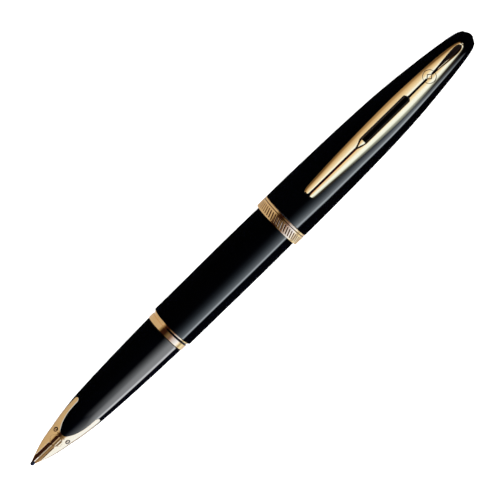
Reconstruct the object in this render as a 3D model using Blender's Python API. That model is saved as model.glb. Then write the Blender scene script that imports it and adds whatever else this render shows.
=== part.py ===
"""A full-size lacquered fountain pen, cap posted on the barrel's tail, lying with its clip and nib upwards.

Lengths below are in millimetres. A station is the distance from the nib's point along the pen's axis,
which runs along +X. Local Y is across the pen and local Z is up, both measured from that axis.
"""

import math

import bmesh
import bpy
from mathutils import Matrix, Vector

MM = 0.001
LENGTH = 150.0  # posted, nib point to cap crown
AXIS_HEIGHT = 6.70  # the cap band is the widest part, and it touches the ground

FINE = 56  # sides of the pieces that show
COARSE = 32  # sides of the hidden pieces
SMALL = 20  # sides of pins and rods

# The nose of the section and the nib share one ogive.
NOSE = [
    (0.85, 0.52), (1.3, 0.76), (2.1, 1.10), (3.0, 1.43), (4.4, 1.89), (5.9, 2.31), (7.4, 2.64),
    (8.8, 2.90), (10.0, 3.09), (11.0, 3.28), (12.0, 3.49), (13.0, 3.68), (14.0, 3.84), (15.0, 3.98),
    (16.0, 4.11), (17.5, 4.30), (19.0, 4.45), (21.5, 4.63), (25.0, 4.83), (29.5, 5.04), (35.0, 5.245),
    (40.5, 5.405), (45.6, 5.52),
]

NIB_THICKNESS = 0.55
NIB_CLEARANCE = 0.03  # between the gold and the black round it
NIB_SLIT_END = 7.2
NIB_SLIT_WIDTH = 0.12
PANEL_HALF_WIDTH = 1.0  # the flat panel either side of the slit

# Half-widths in plan of the black tongue that reaches forward between the nib's prongs.
TONGUE = [
    (10.9, 0.0), (10.97, 0.45), (11.2, 0.9), (11.6, 1.25), (12.2, 1.62), (13.1, 2.08), (14.2, 2.46),
    (15.7, 2.83), (17.2, 3.02), (18.6, 3.11), (19.75, 3.16),
]
PRONG_END = [(20.0, 3.32), (20.08, 3.52), (20.0, 3.72), (19.75, 3.88), (18.6, 4.02)]

HINGE_STATION = 144.6
HINGE_HEIGHT = 1.2  # above the pen's axis

CLIP_FREE_END = 94.4
CLIP_ROOT_END = 147.3
CLIP_HALF_WIDTH = [
    (94.4, 1.15), (94.6, 1.42), (95.1, 1.60), (98.0, 1.80), (104.0, 2.15), (112.7, 2.48), (121.0, 2.65),
    (126.0, 2.66), (131.0, 2.53), (136.0, 2.30), (140.5, 1.98), (144.5, 1.48), (146.2, 1.12),
    (147.0, 0.72), (147.3, 0.25),
]
CLIP_TOP = [
    (94.4, 7.46), (95.4, 7.50), (98.0, 7.56), (104.0, 7.66), (112.0, 7.72), (118.0, 7.60), (124.0, 7.22),
    (130.0, 6.60), (136.0, 5.82), (140.5, 5.10), (144.5, 4.30), (147.3, 3.62),
]
CLIP_THICKNESS = [(94.4, 0.78), (130.0, 0.85), (140.0, 0.72), (147.3, 0.50)]
# Fall of the clip's top below its crest, from the centre line to the edge, as fractions of the half-width.
CLIP_SECTION = [(0.0, 0.12), (0.18, 0.03), (0.35, 0.0), (0.55, 0.055), (0.75, 0.21), (0.9, 0.40), (1.0, 0.55)]

MATERIALS = {
    "lacquer_black": ((0.006, 0.006, 0.008), 0.0, 0.08),
    "gold_plate": ((0.83, 0.60, 0.30), 1.0, 0.16),
    "tip_alloy": ((0.45, 0.45, 0.46), 1.0, 0.22),
    "feed_black": ((0.012, 0.012, 0.013), 0.0, 0.35),
    "brass_plain": ((0.78, 0.57, 0.26), 1.0, 0.28),
    "seal_rubber": ((0.02, 0.02, 0.02), 0.0, 0.6),
    "clear_plastic": ((0.85, 0.90, 0.92), 0.0, 0.06),
    "white_plastic": ((0.80, 0.80, 0.78), 0.0, 0.35),
    "black_plastic": ((0.02, 0.02, 0.022), 0.0, 0.4),
    "spring_steel": ((0.62, 0.63, 0.65), 1.0, 0.25),
}


# ---- helpers -------------------------------------------------------------------------------------


def clear_scene():
    for obj in list(bpy.data.objects):
        bpy.data.objects.remove(obj, do_unlink=True)


def material(name):
    found = bpy.data.materials.get(name)
    if found:
        return found
    colour, metallic, roughness = MATERIALS[name]
    made = bpy.data.materials.new(name)
    made.use_nodes = True
    shader = made.node_tree.nodes["Principled BSDF"]
    shader.inputs["Base Color"].default_value = (*colour, 1.0)
    shader.inputs["Metallic"].default_value = metallic
    shader.inputs["Roughness"].default_value = roughness
    if name == "clear_plastic":
        shader.inputs["Transmission Weight"].default_value = 0.9
    made.diffuse_color = (*colour, 1.0)
    return made


def smooth_value(points, at):
    """A cubic through the points, with each slope taken from its neighbours."""
    if at <= points[0][0]:
        return points[0][1]
    if at >= points[-1][0]:
        return points[-1][1]
    index = max(i for i, point in enumerate(points) if point[0] <= at)
    index = min(index, len(points) - 2)

    def slope(i):
        low, high = points[max(i - 1, 0)], points[min(i + 1, len(points) - 1)]
        return (high[1] - low[1]) / (high[0] - low[0])

    (x0, y0), (x1, y1) = points[index], points[index + 1]
    span = x1 - x0
    t = (at - x0) / span
    return (
        y0 * (2 * t**3 - 3 * t**2 + 1)
        + slope(index) * span * (t**3 - 2 * t**2 + t)
        + y1 * (3 * t**2 - 2 * t**3)
        + slope(index + 1) * span * (t**3 - t**2)
    )


def part_of_nose(start, end, inset=0.0):
    """The ogive's own points between two stations, with both ends made exact."""
    inner = [(s, r - inset) for s, r in NOSE if start + 0.05 < s < end - 0.05]
    ends = [(s, smooth_value(NOSE, s) - inset) for s in (start, end)]
    return [ends[0], *inner, ends[1]]


def frame_empty(name, station, height, parent=None):
    """An empty on a joint's axis: station and height are measured in the pen's own frame."""
    empty = bpy.data.objects.new(name, None)
    bpy.context.collection.objects.link(empty)
    empty.empty_display_size = 4 * MM
    empty["station"] = station
    empty["height"] = height
    where = Vector((station - LENGTH / 2, 0.0, AXIS_HEIGHT + height)) * MM
    if parent:
        empty.parent = parent
        before = Vector((parent["station"] - LENGTH / 2, 0.0, AXIS_HEIGHT + parent["height"])) * MM
        where = where - before
    empty.location = where
    return empty


def add_mesh(bm, name, frame, material_name=None):
    """Makes an object from a mesh drawn in millimetres in the pen's frame, and hangs it on its empty."""
    bmesh.ops.remove_doubles(bm, verts=bm.verts, dist=1e-5)
    bmesh.ops.recalc_face_normals(bm, faces=bm.faces)
    shift = Vector((frame["station"], 0.0, frame["height"]))
    bmesh.ops.translate(bm, vec=-shift, verts=bm.verts)
    bmesh.ops.scale(bm, vec=Vector((MM, MM, MM)), verts=bm.verts)
    mesh = bpy.data.meshes.new(name)
    bm.to_mesh(mesh)
    bm.free()
    obj = bpy.data.objects.new(name, mesh)
    bpy.context.collection.objects.link(obj)
    obj.parent = frame
    if material_name:
        mesh.materials.append(material(material_name))
        mesh.shade_smooth()
    else:
        obj.hide_render = True
        obj.display_type = "WIRE"
    return obj


def turned_mesh(profile, sides, flutes=None):
    """A lathe turn about the pen's axis. A profile that starts and ends on the axis is left open there."""
    bm = bmesh.new()
    solid = profile[0][1] == 0 and profile[-1][1] == 0
    verts = [bm.verts.new((s, 0.0, r)) for s, r in profile]
    edges = [bm.edges.new(pair) for pair in zip(verts, verts[1:])]
    if not solid:
        edges.append(bm.edges.new((verts[-1], verts[0])))
    bmesh.ops.spin(
        bm, geom=verts + edges, cent=(0, 0, 0), axis=(1, 0, 0), angle=2 * math.pi, steps=sides, use_merge=True
    )
    bmesh.ops.remove_doubles(bm, verts=bm.verts, dist=1e-5)
    if flutes:
        low, high, radius, depth = flutes
        for vert in bm.verts:
            across = math.hypot(vert.co.y, vert.co.z)
            turn = round(math.atan2(vert.co.y, vert.co.z) / (2 * math.pi) * sides)
            if low <= vert.co.x <= high and across > radius - 0.01 and turn % 2:
                vert.co.y *= (radius - depth) / across
                vert.co.z *= (radius - depth) / across
    return bm


def turned(name, profile, material_name, frame, sides=COARSE, flutes=None):
    return add_mesh(turned_mesh(profile, sides, flutes), name, frame, material_name)


def box_mesh(low, high):
    bm = bmesh.new()
    bmesh.ops.create_cube(bm, size=1.0)
    size = [b - a for a, b in zip(low, high)]
    middle = [(a + b) / 2 for a, b in zip(low, high)]
    bmesh.ops.scale(bm, vec=Vector(size), verts=bm.verts)
    bmesh.ops.translate(bm, vec=Vector(middle), verts=bm.verts)
    return bm


def prism_mesh(outline, low, high):
    """A plan outline of (station, across) points carried straight up from one height to another."""
    bm = bmesh.new()
    face = bm.faces.new([bm.verts.new((s, y, low)) for s, y in outline])
    risen = bmesh.ops.extrude_face_region(bm, geom=[face])
    top = [item for item in risen["geom"] if isinstance(item, bmesh.types.BMVert)]
    bmesh.ops.translate(bm, vec=Vector((0, 0, high - low)), verts=top)
    return bm


def side_prism_mesh(outline, half_width):
    """A side-view outline of (station, height) points carried across the pen, both ways."""
    bm = bmesh.new()
    face = bm.faces.new([bm.verts.new((s, -half_width, z)) for s, z in outline])
    risen = bmesh.ops.extrude_face_region(bm, geom=[face])
    far = [item for item in risen["geom"] if isinstance(item, bmesh.types.BMVert)]
    bmesh.ops.translate(bm, vec=Vector((0, 2 * half_width, 0)), verts=far)
    return bm


def cross_bar_mesh(station, height, radius, half_length, sides):
    """A round bar across the pen."""
    bm = bmesh.new()
    bmesh.ops.create_cone(
        bm, cap_ends=True, segments=sides, radius1=radius, radius2=radius, depth=2 * half_length,
        matrix=Matrix.Rotation(math.pi / 2, 4, "X"),
    )
    bmesh.ops.translate(bm, vec=Vector((station, 0, height)), verts=bm.verts)
    return bm


def combine(obj, bm, operation, label):
    """Joins, cuts or keeps the part of obj that a helper shape covers."""
    frame = obj.parent
    helper = add_mesh(bm, f"{obj.name}_{label}", frame)
    step = obj.modifiers.new(label, "BOOLEAN")
    step.operation = operation
    step.object = helper
    step.solver = "EXACT"
    return helper


# ---- barrel --------------------------------------------------------------------------------------


def build_barrel(frame):
    turned(
        "barrel_tube",
        [
            (48.52, 5.42), (48.52, 5.86), (48.60, 5.98), (48.80, 6.03), (54.0, 6.03), (60.0, 6.055),
            (66.0, 6.09), (72.0, 6.10), (78.0, 6.065), (83.0, 6.01), (87.0, 5.90), (94.0, 5.65),
            (102.0, 5.32), (112.0, 4.86), (122.4, 4.22), (122.4, 3.80), (116.0, 3.80), (106.0, 4.30),
            (96.0, 4.60), (60.1, 4.60), (60.1, 5.42),
        ],
        "lacquer_black", frame, FINE,
    )
    # The threaded brass mouth. Its plated lip shows as the thin gold line before the lacquer.
    turned(
        "barrel_bush",
        [
            (48.10, 5.16), (48.10, 5.60), (48.16, 5.66), (48.42, 5.66), (48.49, 5.60), (48.49, 5.37),
            (59.9, 5.37), (59.9, 4.86), (48.95, 4.86), (48.95, 5.16),
        ],
        "gold_plate", frame, FINE,
    )
    turned(
        "tail_plug",
        [
            (117.0, 0.0), (117.0, 3.72), (122.45, 3.72), (122.45, 4.20), (123.6, 4.02), (124.7, 3.55),
            (125.5, 2.70), (125.9, 1.50), (126.0, 0.0),
        ],
        "lacquer_black", frame,
    )


# ---- section: grip, nib and feed -----------------------------------------------------------------


def nib_outline(grow):
    """The nib in plan. Ahead of the tongue it is as wide as the nose, so its outline runs outside."""
    tongue = [(s + grow, max(y - grow, 0.0)) for s, y in TONGUE]
    ends = [(s + grow * (1.5 if s > 19.5 else 0.0), y + (grow if y > 3.6 else -grow)) for s, y in PRONG_END]
    one_side = [*tongue, *ends, (16.2, 4.10 + grow), (15.6, 4.6), (15.4, 6.0), (0.2, 6.0)]
    other_side = [(s, -y) for s, y in reversed(one_side) if y > 0]
    return one_side + other_side


def nib_underside(clearance):
    """The side view of everything above the nib's lower edge, which rises towards the prongs."""
    edge = [(0.2, 0.03), (10.0, 0.03), (13.0, 0.42), (16.0, 0.95), (18.6, 1.60), (21.0, 2.0)]
    return [(s, z - clearance) for s, z in edge] + [(21.0, 8.0), (0.2, 8.0)]


def build_section(frame):
    grip = turned(
        "grip_shell",
        [(8.4, 2.27), (8.45, 2.55), *part_of_nose(9.0, 45.6), (45.9, 5.44), (46.03, 5.30)]
        + [(46.03, 4.72), (37.0, 4.72), (37.0, 3.55), (20.2, 3.55), (19.6, 2.27)],
        "lacquer_black", frame, FINE,
    )
    # The nib lies in a pocket as deep as the gold is thick.
    thickness = NIB_THICKNESS + NIB_CLEARANCE
    pocket = turned_mesh(
        [(0.0, 0.0), (0.0, 6.5), (21.5, 6.5), *reversed(part_of_nose(3.0, 21.5, thickness)), (1.8, 0.0)], FINE
    )
    pocket_tool = add_mesh(pocket, "grip_shell_pocket", frame)
    keep = combine(pocket_tool, prism_mesh(nib_outline(NIB_CLEARANCE), -1.0, 8.0), "INTERSECT", "plan")
    keep.hide_render = True
    combine(pocket_tool, side_prism_mesh(nib_underside(NIB_CLEARANCE), 7.0), "INTERSECT", "side")
    cut = grip.modifiers.new("nib_pocket", "BOOLEAN")
    cut.operation = "DIFFERENCE"
    cut.object = pocket_tool
    cut.solver = "EXACT"

    nib = turned(
        "nib",
        [(0.85, 0.0), *part_of_nose(0.85, 21.5), *reversed(part_of_nose(3.0, 21.5, NIB_THICKNESS)), (1.8, 0.0)],
        "gold_plate", frame, FINE,
    )
    combine(nib, prism_mesh(nib_outline(0.0), -1.0, 8.0), "INTERSECT", "plan")
    combine(nib, side_prism_mesh(nib_underside(0.0), 7.0), "INTERSECT", "side")
    # A flat panel falls towards the point either side of the slit.
    panel = [(0.0, -0.03), (NIB_SLIT_END, 2.36), (NIB_SLIT_END, 6.0), (0.0, 6.0)]
    combine(nib, side_prism_mesh(panel, PANEL_HALF_WIDTH), "DIFFERENCE", "panel")
    half = NIB_SLIT_WIDTH / 2
    combine(nib, box_mesh((0.2, -half, -1.0), (NIB_SLIT_END - 0.3, half, 6.0)), "DIFFERENCE", "slit")

    # The hard writing pellet under the point.
    tip = bmesh.new()
    bmesh.ops.create_uvsphere(tip, u_segments=20, v_segments=12, radius=0.41)
    bmesh.ops.scale(tip, vec=Vector((1.0, 0.85, 0.85)), verts=tip.verts)
    bmesh.ops.translate(tip, vec=Vector((0.41, 0.0, 0.12)), verts=tip.verts)
    add_mesh(tip, "nib_tip", frame, "tip_alloy")

    feed_fins = []
    for index in range(4):
        start = 20.0 + 2.4 * index
        feed_fins += [(start, 2.18), (start + 1.2, 2.18), (start + 1.2, 1.75), (start + 2.4, 1.75)]
    turned(
        "feed",
        [(2.3, 0.0), (2.5, 0.55), *part_of_nose(3.4, 8.6, NIB_THICKNESS + 0.06)[1:-1], (8.9, 2.2)]
        + [(13.0, 2.2), *feed_fins, (30.0, 1.75), (30.0, 0.0)],
        "feed_black", frame, COARSE,
    )
    # The collector holds the feed, and its nipple opens the converter.
    turned(
        "collector",
        [
            (20.5, 2.30), (20.5, 3.40), (20.7, 3.48), (36.6, 3.48), (36.6, 1.9), (38.0, 1.9), (38.0, 1.20),
            (42.4, 1.20), (42.6, 1.0), (42.6, 0.5), (30.4, 0.5), (30.4, 2.30),
        ],
        "black_plastic", frame, COARSE,
    )
    turned(
        "thread_collar",
        [
            (38.2, 3.85), (38.2, 4.64), (49.4, 4.64), (49.4, 4.50), (50.0, 4.50), (50.2, 4.64), (56.6, 4.64),
            (57.0, 4.40), (57.0, 3.85),
        ],
        "brass_plain", frame, COARSE,
    )


def build_ring(frame):
    turned(
        "section_ring",
        [
            (46.08, 4.72), (46.08, 5.56), (46.17, 5.65), (47.52, 5.65), (47.61, 5.57), (47.61, 5.38),
            (48.05, 5.38), (48.05, 4.72),
        ],
        "gold_plate", frame, FINE,
    )


def build_washer(frame):
    """The brass washer that lies loose in the barrel's mouth, for the section's thread to tighten against."""
    turned(
        "mouth_washer",
        [(48.14, 4.72), (48.14, 5.12), (48.91, 5.12), (48.91, 4.72)],
        "brass_plain", frame, COARSE,
    )


# ---- converter -----------------------------------------------------------------------------------


def build_converter(frame, knob_frame, piston_frame):
    turned(
        "converter_tube",
        [
            (40.0, 1.30), (40.0, 3.2), (40.4, 3.55), (78.0, 3.55), (78.0, 3.06), (43.8, 3.06), (43.1, 2.4),
            (42.9, 1.30),
        ],
        "clear_plastic", frame,
    )
    turned(
        "converter_ferrule",
        [(66.0, 3.61), (66.0, 3.72), (66.15, 3.80), (89.9, 3.80), (90.0, 3.74), (90.0, 3.61)],
        "gold_plate", frame,
    )
    turned(
        "rod_guide",
        [(72.6, 0.98), (72.6, 2.98), (77.9, 2.98), (77.9, 0.98)],
        "white_plastic", frame,
    )
    turned(
        "converter_knob",
        [
            (102.6, 0.0), (102.6, 1.06), (78.2, 1.06), (78.2, 3.50), (90.15, 3.50), (90.15, 3.62),
            (90.9, 3.78), (91.4, 3.78), (102.6, 3.78), (103.1, 3.70), (103.7, 3.30), (104.0, 2.5), (104.0, 0.0),
        ],
        "black_plastic", knob_frame, COARSE, flutes=(91.3, 102.7, 3.78, 0.14),
    )
    turned(
        "piston_rod",
        [
            (47.3, 0.0), (47.3, 0.70), (49.6, 0.70), (49.6, 1.40), (50.4, 1.40), (50.4, 0.90), (80.0, 0.90),
            (80.0, 0.0),
        ],
        "white_plastic", piston_frame, SMALL,
    )
    turned(
        "piston_seal",
        [
            (47.1, 0.0), (47.1, 0.78), (49.5, 0.78), (49.5, 2.60), (49.1, 2.97), (48.4, 2.97), (48.1, 2.65),
            (46.4, 2.65), (46.1, 2.97), (45.4, 2.97), (45.0, 2.60), (45.0, 0.0),
        ],
        "seal_rubber", piston_frame, COARSE,
    )


# ---- cap -----------------------------------------------------------------------------------------


def build_cap(frame):
    shell = turned(
        "cap_shell",
        [
            (87.36, 6.39), (87.36, 6.60), (87.50, 6.68), (91.0, 6.675), (95.5, 6.64), (99.8, 6.565),
            (103.7, 6.49), (107.6, 6.40), (111.5, 6.30), (115.4, 6.17), (119.3, 6.01), (122.5, 5.84),
            (125.5, 5.635), (128.5, 5.385), (131.5, 5.09), (134.5, 4.76), (137.5, 4.42), (140.5, 4.05),
            (143.5, 3.62), (145.8, 3.24), (147.2, 2.93), (148.2, 2.60), (148.9, 2.20), (149.4, 1.72),
            (149.75, 1.15), (149.93, 0.58), (150.0, 0.0),
        ]
        + [
            (146.4, 0.0), (146.4, 2.0), (144.6, 2.78), (139.0, 3.60), (133.0, 4.31), (126.0, 4.95),
            (118.0, 5.44), (108.0, 5.80), (98.0, 6.01), (89.7, 6.10), (89.7, 6.39), (87.36, 6.39),
        ],
        "lacquer_black", frame, FINE,
    )
    combine(shell, box_mesh((142.3, -0.8, 1.5), (146.0, 0.8, 6.0)), "DIFFERENCE", "clip_slot")
    turned(
        "cap_band",
        [
            (84.05, 6.16), (84.05, 6.60), (84.15, 6.69), (84.3, 6.70), (86.58, 6.70), (86.66, 6.60),
            (86.80, 6.60), (86.88, 6.68), (87.05, 6.70), (87.22, 6.68), (87.31, 6.58), (87.31, 6.35),
            (89.6, 6.35), (89.6, 6.16),
        ],
        "gold_plate", frame, FINE,
    )
    clutch = turned(
        "cap_clutch",
        [(90.2, 5.84), (90.2, 5.98), (98.0, 5.94), (98.0, 5.74), (95.1, 5.74), (94.6, 5.67), (94.0, 5.69), (93.5, 5.84)],
        "brass_plain", frame,
    )
    for index in range(3):
        slot = box_mesh((92.2, -7.0, -0.25), (99.0, 7.0, 0.25))
        bmesh.ops.rotate(slot, cent=(0, 0, 0), matrix=Matrix.Rotation(math.radians(30 + 60 * index), 3, "X"), verts=slot.verts)
        combine(clutch, slot, "DIFFERENCE", f"slot_{index}")
    turned(
        "inner_cap",
        [
            (104.0, 5.60), (104.0, 5.82), (112.0, 5.60), (120.0, 5.26), (126.0, 4.86), (131.0, 4.42),
            (134.6, 4.08), (135.0, 3.7), (135.0, 1.0), (134.3, 1.0), (134.3, 3.5), (131.0, 4.10),
            (126.0, 4.56), (120.0, 4.98), (112.0, 5.34),
        ],
        "black_plastic", frame,
    )
    block = turned(
        "clip_block",
        [
            (139.4, 0.0), (139.4, 3.44), (142.0, 3.08), (144.6, 2.68), (146.1, 2.0), (146.1, 0.0),
        ],
        "brass_plain", frame,
    )
    combine(block, box_mesh((138.9, -1.5, -0.6), (147.0, 1.5, 5.0)), "DIFFERENCE", "slot")
    combine(block, cross_bar_mesh(HINGE_STATION, HINGE_HEIGHT, 0.52, 4.0, SMALL), "DIFFERENCE", "pin_bore")
    add_mesh(
        cross_bar_mesh(HINGE_STATION, HINGE_HEIGHT, 0.46, 2.15, SMALL), "clip_pin", frame, "spring_steel"
    )
    build_spring(frame)


def build_spring(frame):
    """A small torsion spring on the hinge pin, with one leg on the block's floor and one under the clip."""
    coil_radius, wire_radius, turns, start_y, pitch = 0.68, 0.10, 3.0, 0.72, 0.23
    path = [Vector((141.4, start_y, HINGE_HEIGHT - coil_radius))]
    steps = int(turns * 14)
    for step in range(steps + 1):
        angle = math.pi * 1.5 + 2 * math.pi * turns * step / steps
        path.append(
            Vector((
                HINGE_STATION + coil_radius * math.cos(angle),
                start_y + pitch * turns * step / steps,
                HINGE_HEIGHT + coil_radius * math.sin(angle),
            ))
        )
    path[-1] = Vector((HINGE_STATION + 0.3, start_y + pitch * turns, HINGE_HEIGHT - coil_radius))
    curve = bpy.data.curves.new("clip_spring", "CURVE")
    curve.dimensions = "3D"
    curve.bevel_depth = wire_radius * MM
    curve.bevel_resolution = 1
    curve.use_fill_caps = True
    spline = curve.splines.new("POLY")
    spline.points.add(len(path) - 1)
    origin = Vector((frame["station"], 0.0, frame["height"]))
    for point, where in zip(spline.points, path):
        point.co = (*((where - origin) * MM), 1.0)
    curve.materials.append(material("spring_steel"))
    obj = bpy.data.objects.new("clip_spring", curve)
    bpy.context.collection.objects.link(obj)
    obj.parent = frame


# ---- clip ----------------------------------------------------------------------------------------


def clip_body_mesh():
    """The clip as a lofted bar: two rounded lobes with a valley down the middle."""
    stations = [94.4, 94.6, 95.1, 96.5, 99.0, 102.0, 106.0, 110.0, 113.4, 117.0, 121.0, 125.0, 128.6]
    stations += [131.0, 134.0, 136.5, 139.0, 141.0, 143.0, 144.5, 145.6, 146.4, 147.0, 147.3]
    across = [(-v, fall) for v, fall in reversed(CLIP_SECTION[1:])] + CLIP_SECTION
    bm = bmesh.new()
    rings = []
    for s in stations:
        half = smooth_value(CLIP_HALF_WIDTH, s)
        top = smooth_value(CLIP_TOP, s)
        under = top - smooth_value(CLIP_THICKNESS, s)
        flatten = min(1.0, half / 2.0)
        ring = [bm.verts.new((s, v * half, top - fall * flatten)) for v, fall in across]
        ring += [bm.verts.new((s, v * half, under)) for v in (0.92, 0.3, -0.3, -0.92)]
        rings.append(ring)
    count = len(rings[0])
    for near, far in zip(rings, rings[1:]):
        for i in range(count):
            j = (i + 1) % count
            bm.faces.new((near[i], near[j], far[j], far[i]))
    bm.faces.new(rings[0])
    bm.faces.new(list(reversed(rings[-1])))
    return bm


def build_clip(frame):
    clip = add_mesh(clip_body_mesh(), "clip", frame, "gold_plate")
    # The open slit from the free end forks round a small tongue, then opens into a long window.
    slit = [(93.5, 0.22), (110.4, 0.22), (112.9, 0.86), (113.4, 0.90)]
    tongue = [(113.4, 0.56), (112.9, 0.52), (111.2, 0.10)]
    window_end = [(128.3, 0.90), (128.8, 0.40)]
    outline = slit + window_end + [(s, -y) for s, y in reversed(slit + window_end)]
    combine(clip, prism_mesh(outline, 5.0, 9.0), "DIFFERENCE", "window")
    # The tongue stands on a bridge that ties the two lobes together behind the slit.
    bridge = side_prism_mesh([(109.6, 6.60), (113.4, 6.56), (113.4, 6.98), (109.6, 6.98)], 1.6)
    combine(clip, bridge, "UNION", "bridge")
    peak = prism_mesh(tongue + [(s, -y) for s, y in reversed(tongue)], 6.8, 7.5)
    combine(clip, peak, "UNION", "tongue")
    # Behind the window a fine groove runs back into a spoon-shaped hollow at the root.
    groove = side_prism_mesh([(128.6, 6.38), (137.4, 5.28), (137.4, 9.0), (128.6, 9.0)], 0.16)
    combine(clip, groove, "DIFFERENCE", "groove")
    hollow = bmesh.new()
    bmesh.ops.create_uvsphere(hollow, u_segments=24, v_segments=12, radius=1.0)
    bmesh.ops.scale(hollow, vec=Vector((5.3, 0.78, 0.40)), verts=hollow.verts)
    bmesh.ops.rotate(hollow, cent=(0, 0, 0), matrix=Matrix.Rotation(math.radians(12.0), 3, "Y"), verts=hollow.verts)
    bmesh.ops.translate(hollow, vec=Vector((141.9, 0.0, 4.84)), verts=hollow.verts)
    combine(clip, hollow, "DIFFERENCE", "hollow")
    # A lug reaches down through the cap to the hinge pin.
    lug_outline = [(143.0, 4.0), (143.6, 1.0), (144.2, 0.55), (145.0, 0.55), (145.4, 1.2), (145.4, 3.6)]
    combine(clip, side_prism_mesh(lug_outline, 0.5), "UNION", "lug")
    combine(clip, cross_bar_mesh(HINGE_STATION, HINGE_HEIGHT, 0.50, 1.0, SMALL), "DIFFERENCE", "pin_bore")


# ---- assembly ------------------------------------------------------------------------------------


def build_pen():
    clear_scene()
    barrel = frame_empty("barrel_frame", 84.0, 0.0)
    washer = frame_empty("washer_frame", 48.5, 0.0, barrel)
    ring = frame_empty("ring_frame", 47.0, 0.0, washer)
    section = frame_empty("section_frame", 46.0, 0.0, ring)
    converter = frame_empty("converter_frame", 60.0, 0.0, section)
    knob = frame_empty("knob_frame", 97.0, 0.0, converter)
    piston = frame_empty("piston_frame", 50.0, 0.0, converter)
    cap = frame_empty("cap_frame", 84.0, 0.0, barrel)
    clip = frame_empty("clip_frame", HINGE_STATION, HINGE_HEIGHT, cap)
    build_barrel(barrel)
    build_washer(washer)
    build_ring(ring)
    build_section(section)
    build_converter(converter, knob, piston)
    build_cap(cap)
    build_clip(clip)


build_pen()
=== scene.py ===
"""The looks of a black lacquered fountain pen with gold trim, its cap posted on the barrel's tail.

Shapes are drawn in millimetres. A station is the distance from the nib's point along the pen's axis, which
runs along +X; local Y is across the pen and local Z is up from the axis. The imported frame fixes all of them.
"""

import math

import bmesh
import bpy
from mathutils import Matrix, Vector


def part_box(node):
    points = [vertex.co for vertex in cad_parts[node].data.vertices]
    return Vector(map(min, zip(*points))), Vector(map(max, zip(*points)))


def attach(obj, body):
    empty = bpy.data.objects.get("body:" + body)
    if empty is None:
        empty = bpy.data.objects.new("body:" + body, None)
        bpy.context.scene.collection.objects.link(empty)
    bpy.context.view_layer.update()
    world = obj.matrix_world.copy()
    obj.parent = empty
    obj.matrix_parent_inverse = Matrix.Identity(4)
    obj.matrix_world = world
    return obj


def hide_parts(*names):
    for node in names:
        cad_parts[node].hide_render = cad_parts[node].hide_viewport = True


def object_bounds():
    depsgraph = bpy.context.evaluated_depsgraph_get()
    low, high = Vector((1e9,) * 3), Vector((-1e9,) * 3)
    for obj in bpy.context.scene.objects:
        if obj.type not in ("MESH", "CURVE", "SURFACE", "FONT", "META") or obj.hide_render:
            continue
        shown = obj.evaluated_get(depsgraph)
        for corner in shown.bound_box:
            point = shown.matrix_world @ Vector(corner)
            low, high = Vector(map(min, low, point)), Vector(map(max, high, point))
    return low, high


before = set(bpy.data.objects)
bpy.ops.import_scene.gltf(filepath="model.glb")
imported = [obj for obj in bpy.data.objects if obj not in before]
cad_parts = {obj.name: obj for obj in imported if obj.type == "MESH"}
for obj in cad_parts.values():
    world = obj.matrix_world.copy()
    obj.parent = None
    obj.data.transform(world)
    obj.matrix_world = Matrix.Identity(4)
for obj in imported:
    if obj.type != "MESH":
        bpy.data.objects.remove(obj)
CAD_LOW, CAD_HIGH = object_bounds()
SCENE = bpy.context.scene

MM = 0.001
FIRST_X = CAD_LOW.x / MM  # the nib's point
AXIS_Z = (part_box("cap_band")[0].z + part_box("cap_band")[1].z) / 2 / MM

ROUND = 144  # sides of a turned piece
HIDDEN_ROUND = 72

# Radii of the nose, shared by the section and the nib.
NOSE = [
    (0.40, 0.47), (0.85, 0.62), (1.3, 0.79), (2.1, 1.10), (3.0, 1.43), (4.4, 1.89), (5.9, 2.31), (7.4, 2.64),
    (8.8, 2.90), (10.0, 3.09), (11.0, 3.28), (12.0, 3.49), (13.0, 3.68), (14.0, 3.84), (15.0, 3.98),
    (16.0, 4.11), (17.5, 4.30), (19.0, 4.45), (21.5, 4.63), (25.0, 4.83), (29.5, 5.04), (35.0, 5.245),
    (40.5, 5.405), (45.6, 5.52),
]
BARREL = [
    (48.80, 6.03), (54.0, 6.03), (60.0, 6.055), (66.0, 6.09), (72.0, 6.10), (78.0, 6.065), (83.0, 6.01),
    (87.0, 5.90), (94.0, 5.65), (102.0, 5.32), (112.0, 4.86), (122.4, 4.22),
]
CAP = [
    (87.50, 6.68), (91.0, 6.675), (95.5, 6.64), (99.8, 6.565), (103.7, 6.49), (107.6, 6.40),
    (111.5, 6.30), (115.4, 6.17), (119.3, 6.01), (122.5, 5.84), (125.5, 5.635), (128.5, 5.385),
    (131.5, 5.09), (134.5, 4.76), (137.5, 4.42), (140.5, 4.05), (143.5, 3.62), (145.8, 3.24),
    (147.2, 2.93), (148.2, 2.60), (148.9, 2.20), (149.4, 1.72), (149.75, 1.15), (149.93, 0.58),
]


# ---- drawing helpers ----


def smooth(points, at):
    """A cubic through the points, with each slope taken from its neighbours."""
    if at <= points[0][0]:
        return points[0][1]
    if at >= points[-1][0]:
        return points[-1][1]
    index = max(i for i, point in enumerate(points) if point[0] <= at)
    index = min(index, len(points) - 2)

    def slope(i):
        low, high = points[max(i - 1, 0)], points[min(i + 1, len(points) - 1)]
        return (high[1] - low[1]) / (high[0] - low[0])

    (x0, y0), (x1, y1) = points[index], points[index + 1]
    span = x1 - x0
    t = (at - x0) / span
    return (
        y0 * (2 * t**3 - 3 * t**2 + 1)
        + slope(index) * span * (t**3 - 2 * t**2 + t)
        + y1 * (3 * t**2 - 2 * t**3)
        + slope(index + 1) * span * (t**3 - t**2)
    )


def between(points, start, end, step):
    """The smooth curve through the points, sampled evenly from start to end."""
    count = max(1, round((end - start) / step))
    stations = [start + (end - start) * i / count for i in range(count + 1)]
    return [(s, smooth(points, s)) for s in stations]


def ease(low, high, value):
    t = min(1.0, max(0.0, (value - low) / (high - low)))
    return t * t * (3 - 2 * t)


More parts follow.
